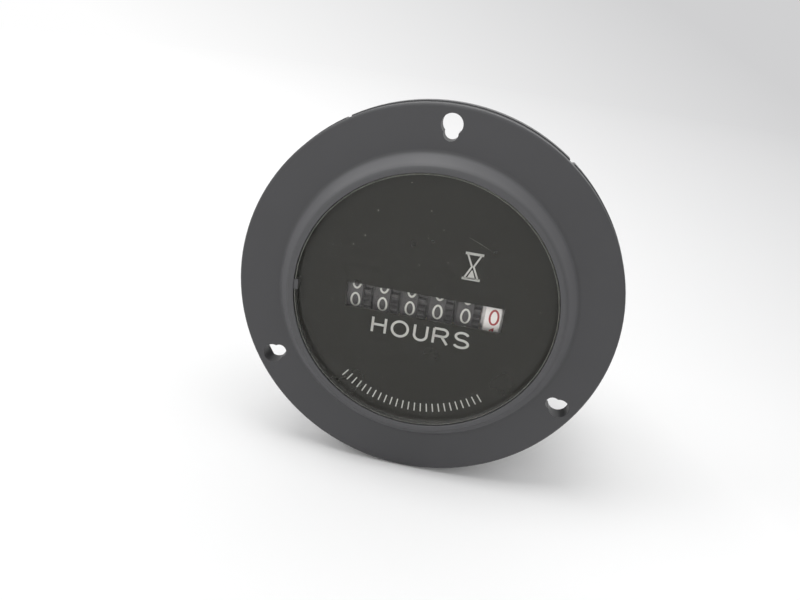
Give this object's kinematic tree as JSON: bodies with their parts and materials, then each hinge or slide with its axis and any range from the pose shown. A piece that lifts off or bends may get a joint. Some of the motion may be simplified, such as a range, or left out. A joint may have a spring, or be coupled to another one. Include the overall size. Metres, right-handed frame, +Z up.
{
  "type": "hour meter",
  "caption": "Round panel hour meter with a flanged bezel, a clear lens over a row of number wheels, and blade terminals at the back.",
  "frame": {"origin": "centre of the flange's rear face, where it meets the panel", "axes": "+Y back through the panel along the case's axis, +Z up to the top mounting hole, +X to the right of a reader"},
  "size_m": [0.0702, 0.0472, 0.0702],
  "materials": {
    "bezel": "matte",
    "case": "matte",
    "lens": "polished",
    "dial": "satin",
    "frame": "satin",
    "steel": "satin",
    "white_wheel": "satin",
    "black_wheel": "satin",
    "natural_acetal": "satin",
    "brass": "satin",
    "magnet": "matte",
    "lamination": "satin",
    "bobbin": "matte",
    "copper": "gloss",
    "board": "gloss",
    "chip": "matte",
    "crystal_can": "satin",
    "capacitor_can": "gloss",
    "blade": "satin",
    "white_print": "satin",
    "red_print": "satin"
  },
  "bodies": {
    "meter": {"bezel": "bezel", "case": "case", "lens": "lens", "dial_plate": "dial", "counter_frame": "frame", "motor_carrier": "frame", "frame_screws": "steel", "wheel_shaft": "steel", "pinion_shaft": "steel", "bridge_screws": "steel", "motor_screws": "steel", "coil_pins": "steel", "gear_bridge": "brass", "stator": "lamination", "coil_core": "lamination", "coil_bobbin": "bobbin", "coil_winding": "copper", "circuit_board": "board", "timing_chip": "chip", "rectifier_diodes": "chip", "series_resistors": "chip", "quartz_crystal": "crystal_can", "reservoir_capacitor": "capacitor_can", "terminal_left": "blade", "terminal_right": "blade"},
    "tenths_wheel": {"tenths_wheel": "white_wheel"},
    "units_wheel": {"units_wheel": "black_wheel"},
    "tens_wheel": {"tens_wheel": "black_wheel"},
    "hundreds_wheel": {"hundreds_wheel": "black_wheel"},
    "thousands_wheel": {"thousands_wheel": "black_wheel"},
    "ten_thousands_wheel": {"ten_thousands_wheel": "black_wheel"},
    "transfer_pinion_1": {"transfer_pinion_1": "natural_acetal"},
    "transfer_pinion_2": {"transfer_pinion_2": "natural_acetal"},
    "transfer_pinion_3": {"transfer_pinion_3": "natural_acetal"},
    "transfer_pinion_4": {"transfer_pinion_4": "natural_acetal"},
    "transfer_pinion_5": {"transfer_pinion_5": "natural_acetal"},
    "first_gear": {"first_arbor": "steel", "first_pinion": "brass", "first_gear": "brass"},
    "second_gear": {"second_arbor": "steel", "second_gear": "natural_acetal"},
    "rotor": {"rotor_arbor": "steel", "rotor_pinion": "natural_acetal", "rotor_magnet": "magnet"}
  },
  "joints": [
    {"name": "tenths_wheel_turn", "type": "hinge", "parent": "meter", "child": "tenths_wheel", "pos_m": [0, 0.00105, -0.0005], "axis": [-1, 0, 0], "continuous": true},
    {"name": "units_wheel_turn", "type": "hinge", "parent": "meter", "child": "units_wheel", "pos_m": [0, 0.00105, -0.0005], "axis": [-1, 0, 0], "continuous": true},
    {"name": "tens_wheel_turn", "type": "hinge", "parent": "meter", "child": "tens_wheel", "pos_m": [0, 0.00105, -0.0005], "axis": [-1, 0, 0], "continuous": true},
    {"name": "hundreds_wheel_turn", "type": "hinge", "parent": "meter", "child": "hundreds_wheel", "pos_m": [0, 0.00105, -0.0005], "axis": [-1, 0, 0], "continuous": true},
    {"name": "thousands_wheel_turn", "type": "hinge", "parent": "meter", "child": "thousands_wheel", "pos_m": [0, 0.00105, -0.0005], "axis": [-1, 0, 0], "continuous": true},
    {"name": "ten_thousands_wheel_turn", "type": "hinge", "parent": "meter", "child": "ten_thousands_wheel", "pos_m": [0, 0.00105, -0.0005], "axis": [-1, 0, 0], "continuous": true},
    {"name": "transfer_pinion_1_turn", "type": "hinge", "parent": "meter", "child": "transfer_pinion_1", "pos_m": [0, 0.00455, -0.00656], "axis": [-1, 0, 0], "continuous": true},
    {"name": "transfer_pinion_2_turn", "type": "hinge", "parent": "meter", "child": "transfer_pinion_2", "pos_m": [0, 0.00455, -0.00656], "axis": [-1, 0, 0], "continuous": true},
    {"name": "transfer_pinion_3_turn", "type": "hinge", "parent": "meter", "child": "transfer_pinion_3", "pos_m": [0, 0.00455, -0.00656], "axis": [-1, 0, 0], "continuous": true},
    {"name": "transfer_pinion_4_turn", "type": "hinge", "parent": "meter", "child": "transfer_pinion_4", "pos_m": [0, 0.00455, -0.00656], "axis": [-1, 0, 0], "continuous": true},
    {"name": "transfer_pinion_5_turn", "type": "hinge", "parent": "meter", "child": "transfer_pinion_5", "pos_m": [0, 0.00455, -0.00656], "axis": [-1, 0, 0], "continuous": true},
    {"name": "first_gear_turn", "type": "hinge", "parent": "meter", "child": "first_gear", "pos_m": [0, 0.0068, 0.00432], "axis": [-1, 0, 0], "continuous": true},
    {"name": "second_gear_turn", "type": "hinge", "parent": "meter", "child": "second_gear", "pos_m": [0, 0.01393, -0.0021], "axis": [-1, 0, 0], "continuous": true},
    {"name": "rotor_turn", "type": "hinge", "parent": "meter", "child": "rotor", "pos_m": [0, 0.0174, 0.00398], "axis": [-1, 0, 0], "continuous": true}
  ],
  "couplings": [
    {"joint": "units_wheel_turn", "follows": "tenths_wheel_turn", "ratio": 0.1},
    {"joint": "tens_wheel_turn", "follows": "tenths_wheel_turn", "ratio": 0.01},
    {"joint": "hundreds_wheel_turn", "follows": "tenths_wheel_turn", "ratio": 0.001},
    {"joint": "thousands_wheel_turn", "follows": "tenths_wheel_turn", "ratio": 0.0001},
    {"joint": "ten_thousands_wheel_turn", "follows": "tenths_wheel_turn", "ratio": 0.00001},
    {"joint": "transfer_pinion_1_turn", "follows": "tenths_wheel_turn", "ratio": -0.25},
    {"joint": "transfer_pinion_2_turn", "follows": "tenths_wheel_turn", "ratio": -0.025},
    {"joint": "transfer_pinion_3_turn", "follows": "tenths_wheel_turn", "ratio": -0.0025},
    {"joint": "transfer_pinion_4_turn", "follows": "tenths_wheel_turn", "ratio": -0.00025},
    {"joint": "transfer_pinion_5_turn", "follows": "tenths_wheel_turn", "ratio": -0.000025},
    {"joint": "first_gear_turn", "follows": "tenths_wheel_turn", "ratio": -2},
    {"joint": "second_gear_turn", "follows": "tenths_wheel_turn", "ratio": 10},
    {"joint": "rotor_turn", "follows": "tenths_wheel_turn", "ratio": -60}
  ]
}
